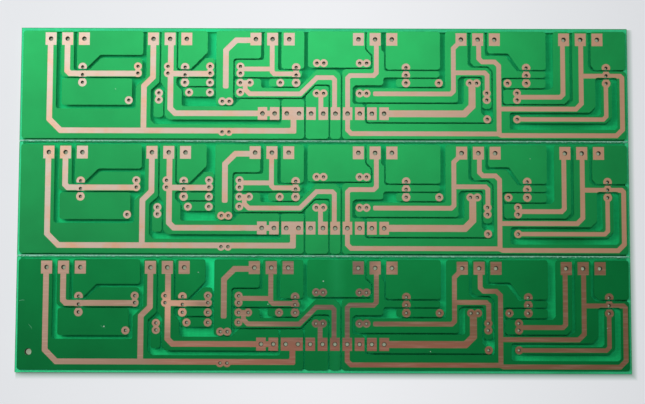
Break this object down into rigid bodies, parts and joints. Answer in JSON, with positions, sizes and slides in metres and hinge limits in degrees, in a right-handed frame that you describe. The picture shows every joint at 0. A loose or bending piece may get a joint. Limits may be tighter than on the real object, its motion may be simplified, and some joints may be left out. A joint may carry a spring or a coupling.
{
  "type": "printed circuit board panel",
  "caption": "Flat rectangular panel of long narrow power amplifier circuit boards joined at score lines, with bare copper tracks and pads in green solder mask.",
  "frame": {"origin": "middle of the underside", "axes": "+X along the boards, +Y across them towards the edge that carries the power device leads of the first board, +Z out of the copper side"},
  "size_m": [0.198, 0.1122, 0.0017],
  "materials": {
    "laminate": "matte glass and paper laminate",
    "solder_mask": "glossy cured green film",
    "copper": "bare brushed copper, dulled"
  },
  "bodies": {
    "root": {"base_laminate": "laminate", "solder_mask_first_board": "solder_mask", "solder_mask_middle_board": "solder_mask", "solder_mask_last_board": "solder_mask", "copper_left_bus": "copper", "copper_right_bus": "copper", "copper_row_output": "copper", "copper_row_sense": "copper", "copper_row_feedback": "copper", "copper_power_1_lead_2": "copper", "copper_power_1_lead_3": "copper", "copper_power_2_lead_2": "copper", "copper_power_2_lead_3": "copper", "copper_power_3_lead_1": "copper", "copper_power_3_lead_2": "copper", "copper_power_3_lead_3": "copper", "copper_power_4_lead_1": "copper", "copper_power_4_lead_3": "copper", "copper_power_5_lead_1": "copper", "copper_power_5_lead_3": "copper", "copper_power_6_lead_1": "copper", "copper_power_6_lead_3": "copper", "copper_driver_1_lead_3": "copper", "copper_driver_2_lead_3": "copper", "copper_driver_3_lead_3": "copper", "copper_driver_4_lead_3": "copper", "copper_driver_5_lead_3": "copper", "copper_driver_6_lead_3": "copper", "copper_resistor_link": "copper", "copper_test_island": "copper"}
  },
  "joints": []
}
